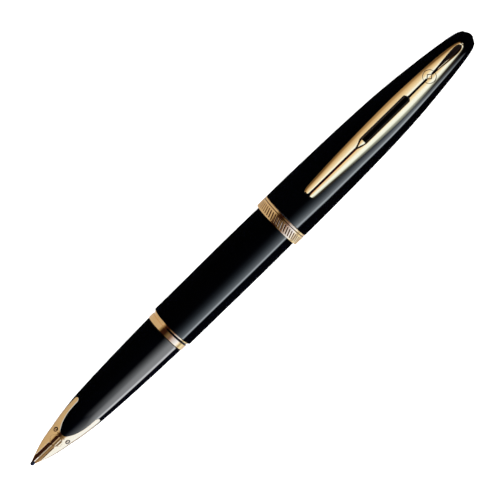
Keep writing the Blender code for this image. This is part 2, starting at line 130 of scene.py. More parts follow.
def place(bm):
    """Moves a mesh drawn from the nib's point into the row frame, in metres."""
    bmesh.ops.translate(bm, vec=Vector((FIRST_X, 0, AXIS_Z)), verts=bm.verts)
    bmesh.ops.scale(bm, vec=Vector((MM, MM, MM)), verts=bm.verts)


def new_object(name, bm):
    """An object in the scene that holds the drawn mesh."""
    mesh = bpy.data.meshes.new(name)
    bm.to_mesh(mesh)
    bm.free()
    obj = bpy.data.objects.new(name, mesh)
    SCENE.collection.objects.link(obj)
    return obj


def dress(obj, body, materials, nodes=(), sharp=32):
    """Gives a piece its shading, its materials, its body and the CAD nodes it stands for."""
    obj.data.shade_smooth()
    obj.data.set_sharp_from_angle(angle=math.radians(sharp))
    for item in materials if isinstance(materials, list) else [materials]:
        obj.data.materials.append(item)
    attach(obj, body)
    if nodes:
        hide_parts(*nodes)


def finish_piece(bm, name, body, materials, nodes=(), sharp=32):
    """Makes a piece from a mesh drawn in millimetres."""
    bmesh.ops.remove_doubles(bm, verts=bm.verts, dist=1e-4)
    bmesh.ops.recalc_face_normals(bm, faces=bm.faces)
    place(bm)
    dress(new_object(name, bm), body, materials, nodes, sharp)


def turned_mesh(profile, sides=ROUND, shape=None):
    """A lathe turn. A profile that starts and ends on the axis closes there; any other is a closed loop.

    shape(s, r, turn) may move a point in or out from the round; turn is its angle from the top towards +Y.
    """
    bm = bmesh.new()
    rings = []
    for s, r in profile:
        if r == 0:
            rings.append([bm.verts.new((s, 0, 0))])
            continue
        ring = []
        for i in range(sides):
            turn = 2 * math.pi * i / sides
            radius = shape(s, r, turn) if shape else r
            ring.append(bm.verts.new((s, radius * math.sin(turn), radius * math.cos(turn))))
        rings.append(ring)
    pairs = list(zip(rings, rings[1:]))
    if len(rings[0]) > 1:
        pairs.append((rings[-1], rings[0]))
    for near, far in pairs:
        for i in range(sides):
            j = (i + 1) % sides
            corners = [near[i % len(near)], near[j % len(near)], far[j % len(far)], far[i % len(far)]]
            corners = list(dict.fromkeys(corners))
            if len(corners) > 2:
                bm.faces.new(corners)
    return bm


def turned(name, profile, material, body, nodes, sides=ROUND, shape=None):
    finish_piece(turned_mesh(profile, sides, shape), name, body, material, nodes)


def loft_mesh(rings):
    """A closed solid through the rings of points, with a face over each end."""
    bm = bmesh.new()
    rings = [[bm.verts.new(point) for point in ring] for ring in rings]
    for near, far in zip(rings, rings[1:]):
        for i in range(len(near)):
            j = (i + 1) % len(near)
            bm.faces.new((near[i], near[j], far[j], far[i]))
    bm.faces.new(rings[0])
    bm.faces.new(rings[-1])
    return bm


def split_loft(stations, ring, joined):
    """Two mirrored bars lofted through the stations, merged down the middle wherever joined(s) is true.

    ring(s, side) gives a side's section as (across, height) points, with across counted outwards. The edge
    from its first point to its second is the inner wall, which is left out where the two bars are one.
    """
    bm = bmesh.new()
    for side in (1, -1):
        rings = []
        for s in stations:
            rings.append([bm.verts.new((s, side * y, z)) for y, z in ring(s, side)])
        count = len(rings[0])
        for k in range(len(rings) - 1):
            near, far = rings[k], rings[k + 1]
            both = joined(stations[k]) and joined(stations[k + 1])
            for i in range(count):
                if i == 0 and both:
                    continue
                j = (i + 1) % count
                bm.faces.new((near[i], near[j], far[j], far[i]))
        for end in (rings[0], rings[-1]):
            bm.faces.new(end)
    return bm


def prism_mesh(outline, low, high):
    """A plan outline of (station, across) points carried straight up from one height to another."""
    bm = bmesh.new()
    face = bm.faces.new([bm.verts.new((s, y, low)) for s, y in outline])
    risen = bmesh.ops.extrude_face_region(bm, geom=[face])
    top = [item for item in risen["geom"] if isinstance(item, bmesh.types.BMVert)]
    bmesh.ops.translate(bm, vec=Vector((0, 0, high - low)), verts=top)
    return bm


def cross_bar_mesh(station, height, radius, half_length, sides):
    """A round bar across the pen, with its ends chamfered."""
    edge = 0.12 * radius
    turns = [2 * math.pi * i / sides for i in range(sides)]
    end = [(half_length, radius - edge), (half_length - edge, radius)]
    rings = []
    for y, r in [(-y, r) for y, r in end] + end[::-1]:
        rings.append([(station + r * math.cos(a), y, height + r * math.sin(a)) for a in turns])
    return loft_mesh(rings)


def tube_mesh(path, radius, sides=12):
    """A round wire along the path, closed at both ends."""
    turns = [2 * math.pi * i / sides for i in range(sides)]
    rings = []
    side = Vector((0, 1, 0))
    for k, point in enumerate(path):
        ahead = (path[min(k + 1, len(path) - 1)] - path[max(k - 1, 0)]).normalized()
        side = (side - ahead * side.dot(ahead)).normalized()
        up = ahead.cross(side)
        rings.append([point + (side * math.cos(a) + up * math.sin(a)) * radius for a in turns])
    return loft_mesh(rings)


# ---- materials ----


class Tree:
    """Short names for building a node tree."""

    def add(self, kind, inputs, **settings):
        """A new node; an input is given as a value or as the socket that feeds it."""
        node = self.tree.nodes.new(kind)
        for key, value in settings.items():
            setattr(node, key, value)
        self.fill(node, inputs)
        return node

    def fill(self, node, inputs):
        for key, value in inputs.items():
            if isinstance(value, bpy.types.NodeSocket):
                self.tree.links.new(value, node.inputs[key])
            else:
                node.inputs[key].default_value = value


class MaterialNodes(Tree):
    """A material's node tree round its Principled shader."""

    def __init__(self, name):
        self.material = bpy.data.materials.new(name)
        self.material.use_nodes = True
        self.tree = self.material.node_tree
        self.place = self.add("ShaderNodeTexCoord", {}).outputs["Object"]

    def noise(self, scale, detail=4.0, rough=0.5, stretch=None):
        place = self.place
        if stretch:
            place = self.add("ShaderNodeMapping", {"Vector": place, "Scale": stretch}).outputs["Vector"]
        inputs = {"Scale": scale, "Detail": detail, "Roughness": rough, "Vector": place}
        return self.add("ShaderNodeTexNoise", inputs).outputs["Fac"]

    def spread(self, value, low, high):
        inputs = {"From Min": 0.3, "From Max": 0.7, "To Min": low, "To Max": high, "Value": value}
        return self.add("ShaderNodeMapRange", inputs).outputs["Result"]

    def colours(self, value, low, high):
        inputs = {0: self.spread(value, 0.0, 1.0), 6: (*low, 1), 7: (*high, 1)}
        return self.add("ShaderNodeMix", inputs, data_type="RGBA").outputs[2]

    def bump(self, value, distance, strength):
        inputs = {"Distance": distance, "Strength": strength, "Height": value}
        self.set(Normal=self.add("ShaderNodeBump", inputs).outputs["Normal"])

    def set(self, **inputs):
        shader = self.tree.nodes["Principled BSDF"]
        self.fill(shader, {key.replace("_", " "): value for key, value in inputs.items()})


def lacquer_material():
    """Polished black lacquer: a near-black body with the faintest orange peel and buffing haze."""
    n = MaterialNodes("black_lacquer")
    tint = n.colours(n.noise(260.0, 3.0), (0.0003, 0.0004, 0.0012), (0.0006, 0.0007, 0.0018))
    rough = n.spread(n.noise(900.0, 5.0), 0.030, 0.055)
    n.set(IOR=1.5, Metallic=0.0, Base_Color=tint, Roughness=rough)
    n.bump(n.noise(1500.0, 2.0), 0.0000006, 0.5)
    return n.material


def metal(name, low, high, rough_low, rough_high, grain=(1.0, 1.0, 1.0)):
    """Metal with a slightly uneven polish and fine hairlines."""
    n = MaterialNodes(name)
    tint = n.colours(n.noise(340.0, 3.0), low, high)
    rough = n.spread(n.noise(2400.0, 6.0, 0.6, grain), rough_low, rough_high)
    n.set(Metallic=1.0, Base_Color=tint, Roughness=rough)
    n.bump(n.noise(5200.0, 4.0, 0.6, grain), 0.0000012, 0.35)
    return n.material


def plastic(name, low, high, rough):
    n = MaterialNodes(name)
    tint = n.colours(n.noise(700.0), low, high)
    n.set(IOR=1.49, Base_Color=tint, Roughness=n.spread(n.noise(1800.0), rough * 0.8, rough * 1.25))
    n.bump(n.noise(6000.0, 3.0), 0.000002, 0.4)
    return n.material


def clear_material():
    n = MaterialNodes("clear_barrel_plastic")
    tint = n.colours(n.noise(300.0), (0.90, 0.94, 0.96), (0.95, 0.97, 0.98))
    rough = n.spread(n.noise(1500.0), 0.02, 0.05)
    n.set(IOR=1.49, Transmission_Weight=0.95, Base_Color=tint, Roughness=rough)
    return n.material


LACQUER = lacquer_material()
GOLD_COLOUR = (1.0, 0.635, 0.285)
GOLD = metal("gold_plate", GOLD_COLOUR, (0.96, 0.60, 0.265), 0.07, 0.12)
NIB_GOLD = metal("nib_gold", GOLD_COLOUR, (0.96, 0.605, 0.27), 0.08, 0.13, (0.4, 1.0, 1.0))
# A paler copy of the nib's gold: a painted highlight along the far prong's inner edge.
NIB_PAINTED_HIGHLIGHT = metal("nib_painted_highlight", (1.0, 0.95, 0.80), (0.98, 0.92, 0.76), 0.08, 0.13, (0.4, 1.0, 1.0))
CLIP_GOLD = metal("clip_gold", GOLD_COLOUR, (0.97, 0.61, 0.27), 0.08, 0.13, (0.3, 1.0, 1.0))
# A dark, dull gold: painted shade in the nib's stamps and in the cap belt's engraving and groove.
GOLD_PAINTED_SHADE = metal("gold_painted_shade", (0.10, 0.035, 0.012), (0.16, 0.06, 0.02), 0.32, 0.45)
# A near-black gold: painted shade in the clip's groove, hollow and engraving, under its slit and in the groove
# behind the section's belt.
CLIP_PAINTED_SHADE = metal("clip_painted_shade", (0.010, 0.005, 0.003), (0.022, 0.010, 0.005), 0.35, 0.50)
WINDOW_TRIM = metal("window_trim", (0.36, 0.26, 0.16), (0.30, 0.22, 0.14), 0.20, 0.30)
BRASS = metal("turned_brass", (0.86, 0.62, 0.29), (0.78, 0.55, 0.25), 0.18, 0.30, (3.0, 0.6, 0.6))
TIP_ALLOY = metal("tip_alloy", (0.045, 0.045, 0.05), (0.08, 0.08, 0.085), 0.30, 0.40)
STEEL = metal("spring_steel", (0.60, 0.61, 0.63), (0.68, 0.69, 0.70), 0.18, 0.28)
FEED_BLACK = plastic("feed_black", (0.008, 0.008, 0.009), (0.014, 0.014, 0.015), 0.33)
BLACK_PLASTIC = plastic("black_plastic", (0.016, 0.016, 0.017), (0.024, 0.024, 0.026), 0.38)
WHITE_PLASTIC = plastic("white_plastic", (0.74, 0.74, 0.71), (0.82, 0.82, 0.80), 0.35)
RUBBER = plastic("seal_rubber", (0.016, 0.016, 0.016), (0.026, 0.026, 0.026), 0.60)
CLEAR = clear_material()


# ---- barrel ----

THREAD_PITCH = 0.75
THREAD_DEPTH = 0.16


def thread(low, high, sign):
    """A right-handed screw thread between two stations, standing out of a rod or into a bore."""

    def shape(s, r, turn):
        inside = ease(low, low + 0.5, s) * (1 - ease(high - 0.5, high, s))
        phase = (s / THREAD_PITCH + turn / (2 * math.pi)) % 1.0
        ridge = max(0.0, 1 - abs(phase - 0.5) * 3.2)
        return r + sign * inside * THREAD_DEPTH * (ease(0, 1, ridge) - 1)

    return shape


def build_barrel():
    outer = [
        (48.52, 5.86), (48.54, 5.95), (48.60, 6.01), (48.68, 6.03), (48.72, 6.03), (48.9, 6.03),
        (49.2, 6.03), *between(BARREL, 50.2, 122.4, 1.3),
    ]
    inner = [
        (122.4, 3.80), (116.0, 3.80), (106.0, 4.30), (96.0, 4.60), (60.1, 4.60), (60.1, 5.42), (48.52, 5.42),
    ]
    turned("barrel_lacquer", outer + inner, LACQUER, "barrel", ["barrel_tube"])
    dome = [(122.45, 4.20), (123.6, 4.02), (124.7, 3.55), (125.5, 2.70), (125.9, 1.50)]
    tail = [(117.0, 0), (117.0, 3.72), (122.45, 3.72), *between(dome, 122.45, 125.9, 0.25)]
    tail += [(125.99, 0.7), (126.0, 0)]
    turned("barrel_tail", tail, LACQUER, "barrel", ["tail_plug"])
    bore = [(59.9 - 0.09 * k, 4.86) for k in range(121)]

    def bore_thread(s, r, turn):
        return thread(49.2, 59.7, -1)(s, r, turn) if r < 4.9 else r

    turned("barrel_mouth", [
        (48.10, 5.16), (48.10, 5.57), (48.13, 5.63), (48.19, 5.66), (48.40, 5.66), (48.46, 5.63),
        (48.49, 5.57), (48.49, 5.37), (59.9, 5.37), *bore, (48.95, 4.86), (48.95, 5.16),
    ], GOLD, "barrel", ["barrel_bush"], shape=bore_thread)
    turned("mouth_washer_ring", [
        (48.14, 4.76), (48.14, 5.08), (48.18, 5.12), (48.87, 5.12), (48.91, 5.08), (48.91, 4.76),
        (48.87, 4.72), (48.18, 4.72),
    ], BRASS, "washer", ["mouth_washer"])


# ---- section: grip, nib and feed ----

NIB_PROUD = 0.04  # how far the gold stands out of the lacquer
NIB_THICKNESS = 0.50
NIB_CHAMFER = 0.03
NIB_UNDER = 0.45  # the pocket under the gold
PAINTED_HIGHLIGHT_WIDTH = 0.24  # width of the paler gold painted along the far prong's inner edge, a painted highlight
SLIT_HALF = 0.03
FIN_PITCH = 0.62  # along the feed
PANEL_END = 7.2
TONGUE_START = 10.9
PRONG_BEND, PRONG_TIP = 19.2, 20.06
TONGUE = [
    (10.9, 0.0), (10.97, 0.45), (11.2, 0.90), (11.6, 1.25), (12.2, 1.62), (13.1, 2.08), (14.2, 2.46),
    (15.7, 2.83), (17.2, 3.02), (18.6, 3.11), (19.4, 3.14),
]
LOWER_EDGE = [(0.2, 0.03), (10.0, 0.03), (13.0, 0.42), (16.0, 0.95), (18.6, 1.60), (21.0, 2.0)]
MEDALLION = (7.32, 10.20, 1.72)  # its front, its back and its half width
SLIT_LINE = (-0.15, 0.10)  # the bright land along the slit, from its near edge to its far edge
STAMPS = ((10.67, 2.02), (10.50, -2.22))


def tine_fall(y, slope=0.14, curve=0.07):
    """How far the flat of a tine has fallen at a signed distance from the slit."""
    near, far = SLIT_LINE
    if y >= far:
        return 0.11 * y
    if y >= near:
        return 0.11 * far + 0.31 * (far - y)
    return 0.11 * far + 0.31 * (far - near) + slope * (near - y) + curve * (y * y - near * near)


def octagon(s, y):
    """1 on the medallion's outline, less inside it."""
    front, back, half = MEDALLION
    along = abs(s - (front + back) / 2) / ((back - front) / 2)
    across = abs(y) / half
    return max(along, across, (along + across) / 1.30)


def medallion_height(s, y, height):
    """A plain octagonal medallion: facets that go on from the tines, a bar along it and a fine outline."""
    radius = smooth(NOSE, s) + NIB_PROUD
    facet = radius - 0.02 - tine_fall(y, 0.13, 0.02)
    # The bar is a ridge with its broad face towards -Y.
    over = (y + 0.62) / 0.06 if y > -0.62 else (-0.62 - y) / 0.20
    facet += 0.06 * max(0.0, 1 - over)
    size = octagon(s, y)
    inside = 1 - ease(0.90, 0.94, size)
    outline = 1 - ease(0.0, 0.035, abs(size - 0.97))
    return height + (min(facet, height) - height) * inside - 0.05 * outline


def stamp_depth(s, y):
    """Two plain oval stamps and one fine cross line behind the medallion."""
    line = (1 - ease(0.05, 0.13, abs(s - 10.48))) * (1 - ease(1.0, 1.2, abs(y)))
    return 0.07 * line + 0.08 * stamped(s, y)


def stamped(s, y):
    """1 on an oval stamp's ring or on the bar across it."""
    for centre_s, centre_y in STAMPS:
        away = math.hypot((s - centre_s) / 0.66, (y - centre_y) / 0.50)
        bar = abs(s - centre_s + 0.5 * (y - centre_y))
        if abs(away - 0.80) < 0.20 or (away < 0.8 and bar < 0.10):
            return 1.0
    return 0.0


def nib_height(s, y):
    """The height of the nib's gold surface at a signed distance across."""
    radius = smooth(NOSE, s) + NIB_PROUD
    height = math.sqrt(max(radius * radius - y * y, 0.0))
    if s <= PANEL_END:
        # A flat panel falls towards the point, and each tine leans outwards.
        plane = -0.02 + 2.39 * s / PANEL_END - tine_fall(y)
        low, high = (0.98, 1.12) if y > 0 else (0.88, 0.96)
        step = ease(low, high, abs(y))
        height = plane + (height - plane) * step if plane < height else height
    elif s < TONGUE_START + 1.2:
        height = medallion_height(s, y, height) - stamp_depth(s, y)
    return height


def prong_limits(s):
    """How far out the gold starts and ends at a station, by angle from the top."""
    radius = smooth(NOSE, s) + NIB_PROUD
    inner = SLIT_HALF if s <= PANEL_END else 0.0
    if s > TONGUE_START:
        inner = smooth(TONGUE, s)
    low = math.asin(min(1.0, inner / radius))
    high = math.acos(min(1.0, smooth(LOWER_EDGE, s) / radius))
    # The prong's end is round.
    turn = max(0.0, (s - PRONG_BEND) / (PRONG_TIP - PRONG_BEND))
    narrow = math.sqrt(max(0.0, 1 - turn * turn))
    middle = (low + high) / 2
    return middle + (low - middle) * narrow, middle + (high - middle) * narrow


def nib_ring(s, side):
    radius = smooth(NOSE, s) + NIB_PROUD
    under = max(radius - NIB_THICKNESS, 0.12)
    low, high = prong_limits(s)
    count = 110
    top = []
    for i in range(count + 1):
        turn = low + (high - low) * i / count
        y = radius * math.sin(turn)
        z = radius * math.cos(turn) if turn > 1.2 else nib_height(s, side * y)
        top.append((y, z))
    # The outer edge is broken by a small chamfer.
    last_y, last_z = top[-1]
    top[-1] = (last_y - NIB_CHAMFER * math.sin(high), last_z - NIB_CHAMFER * math.cos(high))
    turns = [high + (low - high) * i / 8 for i in range(9)]
    roof = [(under * math.sin(turn), under * math.cos(turn)) for turn in turns]
    if s <= PANEL_END:
        roof = [(min(y, under), max(min(z, nib_height(s, side * y) - 0.25), -0.05)) for y, z in roof]
    parted = s <= PANEL_END or s > TONGUE_START
    foot = (top[0][0] if parted else 0.0, roof[-1][1])
    return [foot, *top, *roof[:-1]]


def nib_stations():
    stations = [0.45 + 0.15 * k for k in range(45)] + [PANEL_END, PANEL_END + 0.03]
    s = 7.30
    while s < PRONG_BEND:
        stations.append(round(s, 3))
        s += 0.05 if s < 11.6 else 0.25
    stations += [PRONG_BEND + (PRONG_TIP - PRONG_BEND) * k / 12 for k in range(12)]
    stations += [PRONG_TIP - 0.004, TONGUE_START, TONGUE_START + 0.004]
    return sorted(set(stations))


def build_section():
    def under_the_nib(s, r, turn):
        """The lacquer is sunk where the gold lies over it."""
        if s > 11.5 or r < 2.5:
            return r
        height = r * math.cos(turn)
        sunk = ease(0.04, 0.30, height) * (1 - ease(10.2, 10.75, s))
        return r - NIB_UNDER * sunk

    nose = between(NOSE, 9.0, 12.0, 0.15) + between(NOSE, 12.5, 45.45, 0.7)
    turned("grip_lacquer", [
        (8.4, 2.27), (8.45, 2.50), (8.6, 2.72), *nose, (45.70, 5.50), (45.88, 5.45), (45.99, 5.38),
        (46.03, 5.30), (46.03, 4.72), (37.0, 4.72), (37.0, 3.55), (20.2, 3.55), (19.6, 2.27),
    ], LACQUER, "section", ["grip_shell"], shape=under_the_nib)

    def nib_joined(s):
        return PANEL_END < s <= TONGUE_START

    bm = split_loft(nib_stations(), nib_ring, nib_joined)
    for item in bm.faces:
        s, y, z = item.calc_center_median()
        # The stamps' faces get the dark gold, as painted shade.
        if z > 0.8 and abs(item.normal.x) < 0.98 and stamped(s, y):
            item.material_index = 1
        # A strip along the far prong's inner edge gets the paler gold, as a painted highlight.
        elif s > TONGUE_START and y > 0 and z > 0:
            away = (math.atan2(y, z) - prong_limits(s)[0]) * math.hypot(y, z)
            if away < PAINTED_HIGHLIGHT_WIDTH:
                item.material_index = 2
    finish_piece(bm, "nib_gold", "section", [NIB_GOLD, GOLD_PAINTED_SHADE, NIB_PAINTED_HIGHLIGHT], ["nib"], 40)

    tip = bmesh.new()
    bmesh.ops.create_uvsphere(tip, u_segments=40, v_segments=24, radius=0.58)
    for vert in tip.verts:
        # The pellet is ground flat underneath and parted by the slit's end.
        x, y, z = vert.co.x * 1.15, vert.co.y * 0.95, max(vert.co.z * 0.66, -0.32)
        z -= 0.07 * (1 - ease(0.02, 0.09, abs(y))) * (z > 0)
        vert.co = (x + 0.25, y - 0.06, z + 0.10)
    finish_piece(tip, "nib_pellet", "section", TIP_ALLOY, ["nib_tip"])

    def fins(s, r, turn):
        """Fine cooling-fin grooves across the front of the feed, and an ink channel along its top."""
        off_fin = abs((s / FIN_PITCH) % 1.0 - 0.5) * FIN_PITCH
        groove = 0.16 * (1 - ease(0.16, 0.22, off_fin)) if 3.6 < s < 8.2 and r > 1 else 0.0
        away = abs((turn + math.pi) % (2 * math.pi) - math.pi) * r
        channel = 0.30 * (1 - ease(0.12, 0.18, away)) if r > 0.8 else 0.0
        return r - groove - channel

    front = between([(s, r - NIB_THICKNESS - 0.09) for s, r in NOSE], 2.9, 8.6, 0.1)
    comb = []
    for index in range(4):
        start = 20.0 + 2.4 * index
        comb += [(start, 2.18), (start + 1.2, 2.18), (start + 1.2, 1.75), (start + 2.4, 1.75)]
    turned(
        "feed_core",
        [(2.3, 0), (2.5, 0.55), *front, (8.9, 2.2), (13.0, 2.2), *comb, (30.0, 1.75), (30.0, 0)],
        FEED_BLACK, "section", ["feed"], sides=HIDDEN_ROUND, shape=fins,
    )
    ribs = []
    for index in range(14):
        start = 21.2 + 1.05 * index
        ribs += [(start, 3.48), (start + 0.6, 3.48), (start + 0.65, 3.05), (start + 1.0, 3.05)]
    turned("ink_collector", [
        (20.5, 2.30), (20.5, 3.40), (20.7, 3.48), *ribs, (36.6, 3.48), (36.6, 1.9), (38.0, 1.9),
        (38.0, 1.20), (42.4, 1.20), (42.6, 1.0), (42.6, 0.5), (30.4, 0.5), (30.4, 2.30),
    ], BLACK_PLASTIC, "section", ["collector"], sides=HIDDEN_ROUND)

    def outer_thread(s, r, turn):
        return thread(50.2, 56.6, 1)(s, r, turn) if r > 4.5 else r

    screw = [(50.1 + 0.09 * k, 4.64) for k in range(73)]
    turned("thread_sleeve", [
        (38.2, 3.85), (38.2, 4.60), (38.24, 4.64), (49.4, 4.64), (49.45, 4.48), (50.0, 4.48), *screw,
        (56.7, 4.60), (57.0, 4.36), (57.0, 3.85),
    ], BRASS, "section", ["thread_collar"], shape=outer_thread)
    belt = turned_mesh([
        (46.08, 4.72), (46.08, 5.53), (46.11, 5.60), (46.18, 5.65), (47.50, 5.65), (47.57, 5.62),
        (47.61, 5.55), (47.61, 5.38), (48.05, 5.38), (48.05, 4.72),
    ])
    for item in belt.faces:
        # The groove behind the belt is painted dark along its near side only, as painted shade.
        s, y, z = item.calc_center_median()
        if s > 47.58 and y < 0.8 and z > -3.0 and math.hypot(y, z) > 5.3:
            item.material_index = 1
    finish_piece(belt, "section_belt", "ring", [GOLD, CLIP_PAINTED_SHADE], ["section_ring"])


# ---- converter ----


def build_converter():
    turned("converter_barrel", [
        (40.0, 1.30), (40.0, 3.15), (40.15, 3.38), (40.4, 3.52), (40.7, 3.55), (77.9, 3.55), (78.0, 3.5),
        (78.0, 3.06), (43.8, 3.06), (43.4, 2.7), (43.1, 2.2), (42.9, 1.30),
    ], CLEAR, "converter", ["converter_tube"], sides=96)
    turned("converter_sleeve", [
        (66.0, 3.61), (66.0, 3.72), (66.06, 3.78), (66.15, 3.80), (67.2, 3.80), (67.25, 3.76),
        (67.45, 3.76), (67.5, 3.80), (89.85, 3.80), (89.96, 3.77), (90.0, 3.72), (90.0, 3.61),
    ], GOLD, "converter", ["converter_ferrule"], sides=96)
    turned("rod_bearing", [
        (72.6, 0.98), (72.6, 2.90), (72.7, 2.98), (75.1, 2.98), (75.2, 2.85), (75.4, 2.85), (75.5, 2.98),
        (77.8, 2.98), (77.9, 2.90), (77.9, 0.98),
    ], WHITE_PLASTIC, "converter", ["rod_guide"], sides=HIDDEN_ROUND)

    def knurl(s, r, turn):
        if not 91.2 < s < 102.8 or r < 3.6:
            return r
        inside = ease(91.2, 91.6, s) * (1 - ease(102.4, 102.8, s))
        return r - 0.16 * inside * (0.5 + 0.5 * math.cos(24 * turn))

    grip = [(91.4 + 0.2 * k, 3.78) for k in range(57)]
    turned("converter_twist_knob", [
        (102.6, 0), (102.6, 1.06), (78.2, 1.06), (78.2, 3.45), (78.3, 3.50), (90.15, 3.50), (90.15, 3.62),
        (90.5, 3.72), (90.9, 3.78), *grip, (102.9, 3.75), (103.3, 3.58), (103.7, 3.25), (103.92, 2.8),
        (104.0, 2.3), (104.0, 0),
    ], BLACK_PLASTIC, "knob", ["converter_knob"], sides=192, shape=knurl)

    def lead_screw(s, r, turn):
        inside = ease(51.0, 51.6, s) if r > 0.85 else 0.0
        return r - 0.14 * inside * (0.5 + 0.5 * math.cos(2 * turn + 2 * math.pi * s / 7.0))

    screw = [(50.5 + 0.3 * k, 0.90) for k in range(99)]
    turned("piston_screw", [
        (47.3, 0), (47.3, 0.70), (49.6, 0.70), (49.6, 1.34), (49.66, 1.40), (50.34, 1.40), (50.4, 1.34),
        *screw, (80.0, 0.90), (80.0, 0),
    ], WHITE_PLASTIC, "piston", ["piston_rod"], sides=48, shape=lead_screw)
    turned("piston_rubber", [
        (47.1, 0), (47.1, 0.78), (49.5, 0.78), (49.5, 2.60), (49.35, 2.85), (49.1, 2.97), (48.4, 2.97),
        (48.2, 2.80), (48.0, 2.65), (46.5, 2.65), (46.3, 2.80), (46.1, 2.97), (45.4, 2.97), (45.15, 2.85),
        (45.0, 2.60), (45.0, 0),
    ], RUBBER, "piston", ["piston_seal"], sides=HIDDEN_ROUND)


# ---- cap ----

BELT_FRONT, BELT_BACK, BELT_RADIUS = 84.05, 86.62, 6.70
BELT_UNITS = 17  # how often the belt's pattern repeats round the cap
ENGRAVING_DEPTH = 0.07


def belt_engraving(s, turn):
    """How deep the belt's repeating pattern of slanted strokes is cut, from 0 to 1."""
    height = s - (BELT_FRONT + BELT_BACK) / 2
    unit = 2 * math.pi * BELT_RADIUS / BELT_UNITS
    along = ((turn / (2 * math.pi) * BELT_UNITS) % 1.0) * unit
    cut = 0.0
    for stroke in (-1, 0, 1, 2, 3, 4):
        away = abs(along - stroke * unit / 3 - 0.45 * height) * 0.91
        over = max(0.0, abs(height) - 0.85)
        cut = max(cut, (1 - ease(0.10, 0.17, away)) * (1 - ease(0.0, 0.07, over)))
    return cut


def build_cap():
    outer = [
        (87.36, 6.39), (87.36, 6.58), (87.38, 6.64), (87.44, 6.675), (87.50, 6.68), (87.55, 6.68),
        (87.75, 6.68), (88.0, 6.68), *between(CAP, 88.6, 149.93, 0.9), (149.99, 0.2),
    ]
    inner = [
        (146.4, 2.0), (144.6, 2.78), (139.0, 3.60), (133.0, 4.31), (126.0, 4.95),
        (118.0, 5.44), (108.0, 5.80), (98.0, 6.01), (89.7, 6.10), (89.7, 6.39),
    ]
    shell = [(150.0, 0), *reversed(outer), *reversed(inner), (146.4, 0)]
    turned("cap_lacquer", shell, LACQUER, "cap", ["cap_shell"])

    def engraved(s, r, turn):
        cut = r > BELT_RADIUS - 0.005 and s < 86.5
        return r - ENGRAVING_DEPTH * belt_engraving(s, turn) if cut else r

    face = [(84.20 + 0.045 * k, BELT_RADIUS) for k in range(52)]
    bm = turned_mesh(
        [
            (84.05, 6.16), (84.05, 6.60), (84.09, 6.66), (84.15, 6.69), *face, (86.58, 6.69), (86.63, 6.65),
            (86.66, 6.60), (86.80, 6.60), (86.84, 6.66), (86.94, 6.70), (87.15, 6.70), (87.26, 6.66),
            (87.31, 6.58), (87.31, 6.35), (89.6, 6.35), (89.6, 6.16),
        ],
        BELT_UNITS * 40, engraved,
    )
    # Engraved strokes and the groove behind the belt get the dark gold, as painted shade.
    for item in bm.faces:
        s, y, z = item.calc_center_median()
        radius = math.hypot(y, z)
        engraved_face = 84.25 < s < 86.5 and radius < BELT_RADIUS - ENGRAVING_DEPTH * 0.55
        if radius > 6.5 and (engraved_face or 86.64 < s < 86.82):
            item.material_index = 1
    finish_piece(bm, "cap_belt", "cap", [GOLD, GOLD_PAINTED_SHADE], ["cap_band"], 50)

    def fingers(s, r, turn):
        """The clutch's spring fingers are parted by six narrow slots, drawn as deep grooves."""
        away = abs((turn / (2 * math.pi) * 6) % 1.0 - 0.5) / 6 * 2 * math.pi * r
        slot = (1 - ease(0.18, 0.26, away)) * ease(92.2, 92.4, s) * (r > 5.80)
        return r - 0.12 * slot

    spring = [(92.0 + 0.2 * k, 5.97 - 0.005 * k / 3) for k in range(30)]
    turned("cap_clutch_fingers", [
        (90.2, 5.84), (90.2, 5.96), *spring, (98.0, 5.92), (98.0, 5.74), (95.1, 5.74), (94.6, 5.67),
        (94.0, 5.69), (93.5, 5.84),
    ], BRASS, "cap", ["cap_clutch"], sides=240, shape=fingers)
    liner_out = [(104.0, 5.82), (112.0, 5.60), (120.0, 5.26), (126.0, 4.86), (131.0, 4.42), (134.6, 4.08)]
    liner_in = [(104.0, 5.60), (112.0, 5.34), (120.0, 4.98), (126.0, 4.56), (131.0, 4.10), (134.3, 3.5)]
    turned(
        "cap_liner",
        [*between(liner_out, 104.0, 134.6, 2.0), (134.85, 3.9), (135.0, 3.6), (135.0, 1.0), (134.3, 1.0)]
        + list(reversed(between(liner_in, 104.0, 134.3, 2.0))),
        BLACK_PLASTIC, "cap", ["inner_cap"], sides=HIDDEN_ROUND,
    )
    build_hinge()


